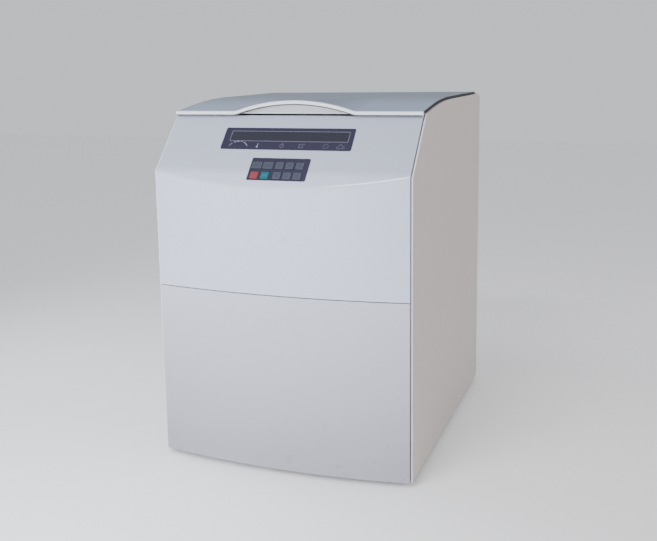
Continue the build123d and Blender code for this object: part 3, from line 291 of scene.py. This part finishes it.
# ------------------------------------------------------------------ materials
# one for each material slot in the record
MATERIALS = {
    # front_paint and side_paint are one paint: the front's bluer tone is painted light, the sides' warmer, darker
    # tone painted shade
    "front_paint": enamel(
        # the fascia above the crease turns darker: a painted shade
        "front_paint", (0.59, 0.63, 0.76), 0.30, coat=0.8, shade_fade=("Z", 0.675, 0.69, (0.46, 0.49, 0.60))
    ),
    # hem: painted light on the side panels' front-facing hem
    "side_paint": powder_coat("side_paint", (0.49, 0.45, 0.425), hem=(0.80, 0.80, 0.84)),
    # the lid and its lip are one paint: the lid's darker blue-grey is painted shade, and it turns darker still
    # where level, a painted reflection
    "lid_paint": enamel(
        "lid_paint", (0.30, 0.36, 0.48), 0.36, coat=0.0, level_shade_colour=(0.15, 0.19, 0.255)
    ),
    "frame_steel": powder_coat("frame_steel", (0.075, 0.08, 0.09), 0.55),
    "stainless": metal("stainless", (0.62, 0.62, 0.61), 0.30, brushed=(25, 25, 900)),
    "zinc_steel": metal("zinc_steel", (0.58, 0.59, 0.60), 0.34, mottled=0.45),
    "chrome_rod": metal("chrome_rod", (0.78, 0.78, 0.79), 0.10, brushed=(900, 60, 60)),
    "strut_black": enamel("strut_black", (0.014, 0.014, 0.015), 0.30, shift=0.004),
    "seal_black": moulded("seal_black", (0.006, 0.006, 0.009), 0.62),
    "damper_rubber": moulded("damper_rubber", (0.02, 0.02, 0.02), 0.72),
    "roller_rubber": moulded("roller_rubber", (0.045, 0.045, 0.048), 0.66),
    "gasket_rubber": moulded("gasket_rubber", (0.05, 0.05, 0.055), 0.70),
    "liner_plastic": moulded(
        "liner_plastic", (0.98, 0.965, 0.98), 0.45, grain=600.0, depth=0.1, speck=0.01
    ),
    "foam": foamed("foam", (0.70, 0.60, 0.34)),
    "overlay_film": film("overlay_film", (0.021, 0.018, 0.044)),
    "window_film": film("window_film", (0.021, 0.020, 0.033), 0.16),
    "key_grey": film("key_grey", (0.038, 0.044, 0.070), 0.34),
    "key_red": film("key_red", (0.23, 0.037, 0.043), 0.34),
    "key_teal": film("key_teal", (0.0, 0.110, 0.145), 0.34),
    "board_green": film("board_green", (0.012, 0.085, 0.035), 0.32),
    "copper_pipe": metal("copper_pipe", (0.72, 0.36, 0.22), 0.28, mottled=0.5),
    "compressor_black": enamel(
        "compressor_black", (0.012, 0.012, 0.013), 0.22, shift=0.004, peel=0.2
    ),
    "aluminium_fin": metal("aluminium_fin", (0.66, 0.67, 0.68), 0.32, brushed=(900, 40, 40)),
    "motor_cast": metal("motor_cast", (0.42, 0.43, 0.44), 0.52, mottled=0.4),
    "rotor_aluminium": metal("rotor_aluminium", (0.52, 0.53, 0.55), 0.34, brushed=(60, 60, 700)),
    "bucket_aluminium": metal("bucket_aluminium", (0.42, 0.43, 0.46), 0.38, brushed=(80, 80, 900)),
    "fan_black": moulded("fan_black", (0.018, 0.018, 0.02), 0.5),
    "inlet_black": moulded("inlet_black", (0.014, 0.014, 0.016), 0.45),
    "foot_black": metal("foot_black", (0.12, 0.12, 0.13), 0.45, mottled=0.5),
}
# nodes that look different from the rest of their slot
DARK_ZINC = metal("dark_zinc", (0.10, 0.10, 0.105), 0.42, mottled=0.3)
OWN_MATERIAL = {
    # the lower front panel turns darker towards the bottom: a painted shade
    "lower_front_panel": enamel(
        "lower_paint", (0.37, 0.365, 0.42), 0.30, coat=0.4, shade_fade=("Z", 0.05, 0.44, (0.55, 0.55, 0.635))
    ),
    "top_deck": metal("deck_steel", (0.60, 0.60, 0.595), 0.34, brushed=(14, 700, 700)),
    "lid_fittings": DARK_ZINC,
    "latch_housing": DARK_ZINC,
}
# printed marks, the lid's lip and the painted shadow under it
LINE_INK = film("line_ink", (0.150, 0.150, 0.200), 0.4)
ICON_INK = film("icon_ink", (0.300, 0.300, 0.350), 0.4)
KEY_INK = film("key_ink", (0.085, 0.096, 0.135), 0.4)
TEAL_INK = film("teal_ink", (0.06, 0.25, 0.29), 0.4)
# the lid's paint as lit on the rolled lip: a painted highlight
LIP_PAINT = enamel("lip_paint", (0.88, 0.90, 0.96), 0.26, shift=0.03, peel=0.08, coat=0.3)
# the lip's underside painted dark: a painted shadow
LIP_SHADOW_PAINT = moulded("lip_painted_shadow", (0.10, 0.10, 0.11), 0.6)


def finish_nodes():
    """Gives every CAD node its material."""
    for node, made in NODES.items():
        material = OWN_MATERIAL.get(node) or MATERIALS[SLOT_OF[node]]
        for entry in made.material_slots:
            entry.material = material
        if not made.material_slots:
            made.data.materials.append(material)


finish_nodes()


# ------------------------------------------------------------------ mesh helpers
PRINT_THICKNESS = 0.12          # mm that a printed mark stands above its film
PRINT_SINK = 0.03               # mm that it goes into it
SHARPEST_MITRE = 0.5            # stops a ribbon's outer corner from running far out
CORNER_STEPS = 4                # for the round corners of a printed rectangle


def piece(name, mesh, material, body):
    """A finished mesh as a named piece that rides on a body."""
    made = bpy.data.objects.new(name, mesh)
    bpy.context.scene.collection.objects.link(made)
    if material:
        mesh.materials.append(material)
    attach(made, body)
    return made


def finished(graph, name):
    """A mesh made from graph, with every face turned outwards."""
    bmesh.ops.recalc_face_normals(graph, faces=graph.faces)
    mesh = bpy.data.meshes.new(name)
    graph.to_mesh(mesh)
    graph.free()
    return mesh


class Surface:
    """A flat patch on a CAD node that faces normal, with x along +X and y up the slope."""

    def __init__(self, node, normal):
        self.normal = normal
        self.up = Vector((0, normal.z, -normal.y))
        points = [vertex.co for vertex in NODES[node].data.vertices]
        xs = [point.x for point in points]
        ups = [point.dot(self.up) for point in points]
        top = max(point.dot(normal) for point in points)
        middle_up = (min(ups) + max(ups)) / 2
        self.origin = (
            Vector(((min(xs) + max(xs)) / 2, 0, 0)) + self.up * middle_up + normal * top
        )
        self.width = (max(xs) - min(xs)) / MM
        self.height = (max(ups) - min(ups)) / MM

    def at(self, x, y, lift):
        """World place of a point given in millimetres from the middle of the patch."""
        return self.origin + Vector((x * MM, 0, 0)) + self.up * (y * MM) + self.normal * (lift * MM)


def ribbon(graph, surface, points, width, closed=False):
    """A raised printed line of even width along points, with mitred corners."""
    count = len(points)
    sides = []
    for i, (x, y) in enumerate(points):
        before = points[i - 1] if (i or closed) else points[i]
        after = points[(i + 1) % count] if (i < count - 1 or closed) else points[i]
        first = Vector((x - before[0], y - before[1]))
        second = Vector((after[0] - x, after[1] - y))
        first = first.normalized() if first.length else second.normalized()
        second = second.normalized() if second.length else first
        across = Vector((-(first.y + second.y), first.x + second.x)).normalized()
        lean = max(SHARPEST_MITRE, across.dot(Vector((-second.y, second.x))))
        step = across * (width / 2 / lean)
        corners = []
        for sign in (1, -1):
            for lift in (-PRINT_SINK, PRINT_THICKNESS):
                place = surface.at(x + sign * step.x, y + sign * step.y, lift)
                corners.append(graph.verts.new(place))
        sides.append(corners)
    for i in range(count if closed else count - 1):
        a, b = sides[i], sides[(i + 1) % count]
        for one, two in ((0, 1), (1, 3), (3, 2), (2, 0)):
            graph.faces.new((a[one], a[two], b[two], b[one]))
    if not closed:
        for end in (sides[0], sides[-1]):
            graph.faces.new((end[0], end[1], end[3], end[2]))


def tube(graph, sections):
    """Joins closed sections with the same number of points, and caps both ends."""
    count = len(sections[0])
    for left, right in zip(sections, sections[1:]):
        for i in range(count):
            j = (i + 1) % count
            graph.faces.new((left[i], left[j], right[j], right[i]))
    graph.faces.new(sections[0])
    graph.faces.new(sections[-1])


def patch(graph, surface, outline):
    """A raised printed area inside a convex outline."""
    lifts = (-PRINT_SINK, PRINT_THICKNESS)
    tube(graph, [[graph.verts.new(surface.at(x, y, lift)) for x, y in outline] for lift in lifts])


def arc(x, y, radius, start, end, steps):
    """Points on an arc, angles in degrees."""
    angles = [radians(start + (end - start) * i / steps) for i in range(steps + 1)]
    return [(x + radius * cos(angle), y + radius * sin(angle)) for angle in angles]


def ring(x, y, radius, steps=28):
    """Points all round a circle."""
    return arc(x, y, radius, 0, 360 - 360 / steps, steps - 1)


def soft_rectangle(x, y, width, height, radius):
    """A rectangle with rounded corners."""
    points = []
    for corner, start in (((1, -1), -90), ((1, 1), 0), ((-1, 1), 90), ((-1, -1), 180)):
        cx = x + corner[0] * (width / 2 - radius)
        cy = y + corner[1] * (height / 2 - radius)
        points += arc(cx, cy, radius, start, start + 90, CORNER_STEPS)
    return points


# ------------------------------------------------------------------ printed fascia detail
# places and line widths in millimetres from the middle of the film or key they are printed on
press = next(joint for joint in frame["joints"] if joint["name"] == "key_press_1")
fascia_normal = -Vector(press["axis"])
ICON_ROW = -19.5                # height of the row of icons under the window
WINDOW_MARGIN = 1.6             # the line's outline is this much larger than the window
KEY_MARGIN = 3.4                # a key's outer frame is this much smaller than the key
THIN_LINE = 0.8
KEY_COUNT = 10
STOP_KEY, START_KEY = 6, 7      # the red key has no mark and the teal one has its own


def printed(name, node, body, material, draw):
    """A piece that draw makes on the face of a film or key."""
    surface = Surface(node, fascia_normal)
    graph = bmesh.new()
    draw(graph, surface)
    piece(name, finished(graph, name), material, body)


def draw_window_line(graph, surface):
    """A line round the display window."""
    window = Surface("display_window", fascia_normal)
    offset_x = (window.origin - surface.origin).x / MM
    offset_y = (window.origin - surface.origin).dot(surface.up) / MM
    wide, high = window.width + WINDOW_MARGIN, window.height + WINDOW_MARGIN
    ribbon(graph, surface, soft_rectangle(offset_x, offset_y, wide, high, 2.4), 1.3, closed=True)


def draw_gauge(graph, surface):
    """Speed dial: five dashes of different weight along an arc."""
    middle, base, radius = -113.5, ICON_ROW - 15.0, 26.0
    for start, end, weight in (
        (152, 128, 0.9),
        (119, 108, 1.9),
        (103, 92, 2.2),
        (82, 74, 1.2),
        (66, 30, 1.5),
    ):
        ribbon(graph, surface, arc(middle, base, radius, start, end, 8), weight)


def draw_thermometer(graph, surface):
    """A stem on a round bulb."""
    x = -66.5
    ribbon(graph, surface, [(x, ICON_ROW - 2.5), (x + 0.6, ICON_ROW + 6.0)], 1.5)
    patch(graph, surface, ring(x, ICON_ROW - 4.0, 2.3))


def draw_timer(graph, surface):
    """A clock with one hand and a crown."""
    x = -7.0
    middle = ICON_ROW - 1.2
    ribbon(graph, surface, ring(x, middle, 4.6), THIN_LINE, closed=True)
    ribbon(graph, surface, [(x, middle), (x, middle + 3.0)], 0.7)
    ribbon(graph, surface, arc(x + 0.2, ICON_ROW + 3.2, 3.0, 20, 160, 8), THIN_LINE)


def draw_program(graph, surface):
    """An open square with an arrow out of its corner."""
    x = 38.5
    half = 4.5
    outline = [(x + 1.5, ICON_ROW + half), (x - half, ICON_ROW + half), (x - half, ICON_ROW - half)]
    outline += [(x + half, ICON_ROW - half), (x + half, ICON_ROW + 0.5)]
    ribbon(graph, surface, outline, THIN_LINE)
    ribbon(graph, surface, [(x + 2.0, ICON_ROW + 2.0), (x + 7.0, ICON_ROW + 6.0)], THIN_LINE)
    head = [(x + 7.6, ICON_ROW + 6.6), (x + 4.6, ICON_ROW + 6.0), (x + 7.0, ICON_ROW + 3.6)]
    patch(graph, surface, head)


def draw_circle(graph, surface):
    """A dashed circle."""
    dashes = 12
    pitch = 360 / dashes
    for part in range(dashes):
        dash = arc(96.0, ICON_ROW, 6.0, pitch * part, pitch * part + 20, 4)
        ribbon(graph, surface, dash, THIN_LINE)


def draw_rotor(graph, surface):
    """A rotor seen from the side: a foot, two shoulders and a dome."""
    x = 130.5
    base = ICON_ROW - 5.0
    outline = [(x - 8.5, base), (x - 8.5, base + 3.5), (x - 5.0, base + 4.5)]
    outline += arc(x, base + 6.0, 4.2, 160, 20, 10)
    outline += [(x + 5.0, base + 4.5), (x + 8.5, base + 3.5), (x + 8.5, base)]
    ribbon(graph, surface, outline, THIN_LINE, closed=True)


def draw_start(graph, surface):
    """Two short dashes."""
    for x in (-2.8, 2.6):
        ribbon(graph, surface, [(x - 1.5, 0.4), (x + 1.3, 0.4)], 1.5)


def draw_key_frame(graph, surface):
    """A frame inside the key's edge with a smaller one inside it."""
    wide, high = surface.width - KEY_MARGIN, surface.height - KEY_MARGIN
    ribbon(graph, surface, soft_rectangle(0, 0, wide, high, 1.0), THIN_LINE, closed=True)
    inner = soft_rectangle(0, 0, 0.62 * wide, 0.6 * high, 0.8)
    ribbon(graph, surface, inner, 0.55, closed=True)


for name, draw, ink in (
    ("display_window_line", draw_window_line, LINE_INK),
    ("icon_speed", draw_gauge, ICON_INK),
    ("icon_temperature", draw_thermometer, ICON_INK),
    ("icon_timer", draw_timer, LINE_INK),
    ("icon_program", draw_program, LINE_INK),
    ("icon_balance", draw_circle, LINE_INK),
    ("icon_rotor", draw_rotor, LINE_INK),
):
    printed(name, "display_overlay", "cabinet", ink, draw)

for number in range(1, KEY_COUNT + 1):
    key = f"key_{number}"
    if number == START_KEY:
        printed(f"{key}_mark", key, BODY_OF[key], TEAL_INK, draw_start)
    elif number != STOP_KEY:
        printed(f"{key}_mark", key, BODY_OF[key], KEY_INK, draw_key_frame)


# ------------------------------------------------------------------ lid skin
LID_SHEET = 2.5 * MM
TRIM = 1.5 * MM                 # thickness of the rubber trim on the lid's side edges
LIP_RADIUS = 5.35 * MM
ARCH_HALF = 152.0 * MM          # finger arch in the lip
ARCH_RISE = 24.0 * MM
ARCH_BLEND = 45.0 * MM          # radius of the arch's feet
# points of the lid's side view: behind the lip's axis, and below the top of the rear edge
CROWN_BACK, CROWN_DROP = 261.65 * MM, 2.87 * MM
KNEE_BACK, KNEE_DROP = 71.65 * MM, 17.77 * MM
FRONT_BACK, FRONT_DROP = -2.35 * MM, 28.77 * MM
# how finely the skin is divided
SHEET_STEPS = 40                # from the rear edge to the lip
SHEET_CROWDING = 0.85           # below 1 the steps get shorter towards the lip
SHEET_TO_LIP = 1.5 * MM         # from the last step to the back of the lip
LIP_STEPS = 20
LIP_FROM, LIP_TO = 52, 335      # degrees of the lip's circle that stand clear of the sheet
OUTER_STEPS = 14                # from each side edge to the arch
ARCH_STEPS = 92                 # across the arch
LIP_END_SIDES = 24
ON_LIP = 1.08                   # faces within this share of the lip's radius belong to it
UNDER_LIP = -0.5                # and those lower than this share get the painted shadow under the lip

lid_low, lid_high = (Vector(corner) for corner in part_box("lid_shell"))
arch_angle = 2 * atan2(ARCH_RISE, ARCH_HALF)
arch_crown = ARCH_HALF / sin(arch_angle) - ARCH_BLEND
lip_y = lid_low.y + LIP_RADIUS
lip_z = lid_low.z + LIP_RADIUS
lid_crown_y, lid_crown_z = lip_y + CROWN_BACK, lid_high.z - CROWN_DROP
lid_knee_y, lid_knee_z = lip_y + KNEE_BACK, lid_high.z - KNEE_DROP
lid_front_y, lid_front_z = lip_y + FRONT_BACK, lid_high.z - FRONT_DROP
front_slope = (lid_knee_z - lid_front_z) / (lid_knee_y - lid_front_y)
rear_slope = (lid_high.z - lid_crown_z) / (lid_high.y - lid_crown_y)
# the lines of the straight front and rear stretches cross at the control point of the curve
control_y = (
    lid_crown_z - lid_knee_z + front_slope * lid_knee_y - rear_slope * lid_crown_y
) / (front_slope - rear_slope)
control_z = lid_knee_z + front_slope * (control_y - lid_knee_y)
level_z = lip_z + ARCH_RISE + LIP_RADIUS


def arch_height(x):
    """How far the lip's axis stands above its ends: a round crown between two round feet."""
    reach = abs(x)
    if reach >= ARCH_HALF:
        return 0.0
    if reach <= arch_crown * sin(arch_angle):
        return ARCH_RISE - arch_crown + sqrt(arch_crown**2 - reach**2)
    return ARCH_BLEND - sqrt(ARCH_BLEND**2 - (ARCH_HALF - reach) ** 2)


def lid_top(x, y):
    """Height of the lid's upper surface: a level bump behind the arch fades into the crown."""
    share = arch_height(x) / ARCH_RISE

    def lift(z):
        return z + share * (level_z - z)

    if y <= lid_knee_y:
        t = (y - lid_front_y) / (lid_knee_y - lid_front_y)
        return lift(lid_front_z) + t * (lift(lid_knee_z) - lift(lid_front_z))
    if y >= lid_crown_y:
        return lid_crown_z + rear_slope * (y - lid_crown_y)
    a = lid_knee_y - 2 * control_y + lid_crown_y
    b = 2 * (control_y - lid_knee_y)
    c = lid_knee_y - y
    t = (-b + sqrt(b * b - 4 * a * c)) / (2 * a)
    return (1 - t) ** 2 * lift(lid_knee_z) + 2 * t * (1 - t) * lift(control_z) + t * t * lid_crown_z


def lid_profile(x):
    """Closed (y, z) section of the lid: upper side, rolled lip, under side."""
    length = lid_high.y - (lip_y + LIP_RADIUS + SHEET_TO_LIP)
    shares = [(i / SHEET_STEPS) ** SHEET_CROWDING for i in range(SHEET_STEPS + 1)]
    stations = [lid_high.y - length * share for share in shares]
    upper = [(y, lid_top(x, y)) for y in stations]
    lower = [(y, z - LID_SHEET) for y, z in reversed(upper)]
    lip = arc(lip_y, lip_z + arch_height(x), LIP_RADIUS, LIP_FROM, LIP_TO, LIP_STEPS)
    return upper + lip + lower


def lid_stations():
    """Where the lid's sections stand, from edge to edge between the strips of trim."""
    edge = lid_low.x + TRIM
    outer = [edge + (abs(edge) - ARCH_HALF) * i / OUTER_STEPS for i in range(OUTER_STEPS)]
    inner = [-ARCH_HALF + 2 * ARCH_HALF * i / ARCH_STEPS for i in range(ARCH_STEPS + 1)]
    return outer + inner + [-x for x in reversed(outer)]


def add_section(graph, x, outline):
    return [graph.verts.new((x, y, z)) for y, z in outline]


def lip_material(middle):
    """Material index for a face of the lid: 0 sheet, 1 lip, 2 the underside of the lip, painted dark as its
    shadow.
    """
    centre = Vector((middle.x, lip_y, lip_z + arch_height(middle.x)))
    if (middle - centre).length >= ON_LIP * LIP_RADIUS:
        return 0
    return 2 if middle.z - centre.z < UNDER_LIP * LIP_RADIUS else 1


def round_edges(made):
    rounding = made.modifiers.new("edges", "BEVEL")
    rounding.width = 0.5 * MM
    rounding.segments = 2
    rounding.limit_method = "ANGLE"
    rounding.angle_limit = radians(50)
    weighted = made.modifiers.new("normals", "WEIGHTED_NORMAL")
    weighted.keep_sharp = True


def build_lid():
    graph = bmesh.new()
    tube(graph, [add_section(graph, x, lid_profile(x)) for x in lid_stations()])
    # the last bit of the rolled lip passes the ends of the edge trim
    circle = ring(lip_y, lip_z, LIP_RADIUS, LIP_END_SIDES)
    for side in (-1, 1):
        ends = (side * (lid_high.x - 2 * TRIM), side * lid_high.x)
        tube(graph, [add_section(graph, x, circle) for x in ends])
    mesh = finished(graph, "lid_skin")
    # the third material is the painted shadow under the lip
    for material in (MATERIALS["lid_paint"], LIP_PAINT, LIP_SHADOW_PAINT):
        mesh.materials.append(material)
    for face in mesh.polygons:
        face.use_smooth = True
        face.material_index = lip_material(face.center)
    made = piece("lid_skin", mesh, None, BODY_OF["lid_shell"])
    round_edges(made)
    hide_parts("lid_shell")


build_lid()


# ------------------------------------------------------------------ stage, light and camera
FLOOR_REACH = 9.0               # m from the middle to each edge


def add_floor():
    graph = bmesh.new()
    corners = [(-1, -1), (1, -1), (1, 1), (-1, 1)]
    graph.faces.new([graph.verts.new((x * FLOOR_REACH, y * FLOOR_REACH, 0)) for x, y in corners])
    mesh = finished(graph, "floor")
    shader = Shader("floor_white", (0.95, 0.95, 0.96), 0.75)
    shader.set("Emission Color", (1.0, 1.0, 1.0, 1.0))
    shader.set("Emission Strength", 0.16)
    shader.cloud(scale=1.5, detail=2.0, share=0.3, colour=(0.92, 0.92, 0.93))
    mesh.materials.append(shader.material)
    made = bpy.data.objects.new("floor", mesh)
    bpy.context.scene.collection.objects.link(made)


def area_light(name, place, aim, size, power, colour, mirrored=False):
    """A soft light; shiny surfaces show its shape only if it is mirrored."""
    data = bpy.data.lights.new(name, "AREA")
    data.shape = "RECTANGLE"
    data.size, data.size_y = size
    data.energy = power
    data.color = colour
    made = bpy.data.objects.new(name, data)
    made.location = place
    direction = Vector(aim) - Vector(place)
    made.rotation_euler = direction.to_track_quat("-Z", "Y").to_euler()
    made.visible_camera = False
    made.visible_glossy = mirrored
    bpy.context.scene.collection.objects.link(made)


def add_lights():
    """Light on the front, on the right side, on the fascia's crease and on the lid."""
    area_light("key", (-0.35, -1.35, 0.62), (0, -0.36, 0.56), (1.1, 0.6), 16.0, (0.90, 0.96, 1.0))
    area_light("side", (4.2, -1.2, 1.5), (0.3, 0, 0.40), (2.4, 1.8), 64.0, (1.0, 0.88, 0.80))
    area_light(
        "crease", (-0.10, -1.45, 2.38), (0.1, -0.36, 0.69), (0.8, 0.20), 19.0, (1, 1, 1), mirrored=True
    )
    area_light("lid", (-1.5, -0.1, 1.15), (-0.3, 0, 0.83), (0.6, 0.5), 12.0, (0.95, 0.98, 1.0))


def add_world():
    """Light from all round, a little dimmer overhead, like a lit cyclorama."""
    world = bpy.data.worlds.new("studio")
    world.use_nodes = True
    tree = world.node_tree
    background = tree.nodes["Background"]
    background.inputs["Strength"].default_value = 0.95
    place = tree.nodes.new("ShaderNodeTexCoord")
    split = tree.nodes.new("ShaderNodeSeparateXYZ")
    ramp = tree.nodes.new("ShaderNodeValToRGB")
    tree.links.new(place.outputs["Generated"], split.inputs["Vector"])
    tree.links.new(split.outputs["Z"], ramp.inputs["Fac"])
    tree.links.new(ramp.outputs["Color"], background.inputs["Color"])
    horizon, overhead = ramp.color_ramp.elements
    horizon.position, horizon.color = 0.05, (0.80, 0.82, 0.85, 1.0)
    overhead.position, overhead.color = 0.75, (0.58, 0.60, 0.65, 1.0)
    bpy.context.scene.world = world


def add_camera():
    """The photograph's view, fitted to the cabinet's edges: front right, a little above the lid."""
    data = bpy.data.cameras.new("camera")
    data.sensor_width = 36.0
    data.lens = 48.09
    data.shift_y = -0.0845
    data.clip_end = 60.0
    place = Matrix.Translation((0.7561, -2.0938, 0.8965))
    yaw, pitch, roll = radians(20.19), radians(9.29), radians(-0.81)
    turn = Matrix.Rotation(yaw, 4, "Z") @ Matrix.Rotation(radians(90) - pitch, 4, "X")
    made = bpy.data.objects.new("camera", data)
    made.matrix_world = place @ turn @ Matrix.Rotation(roll, 4, "Z")
    bpy.context.scene.collection.objects.link(made)
    bpy.context.scene.camera = made


add_floor()
add_world()
add_lights()
add_camera()
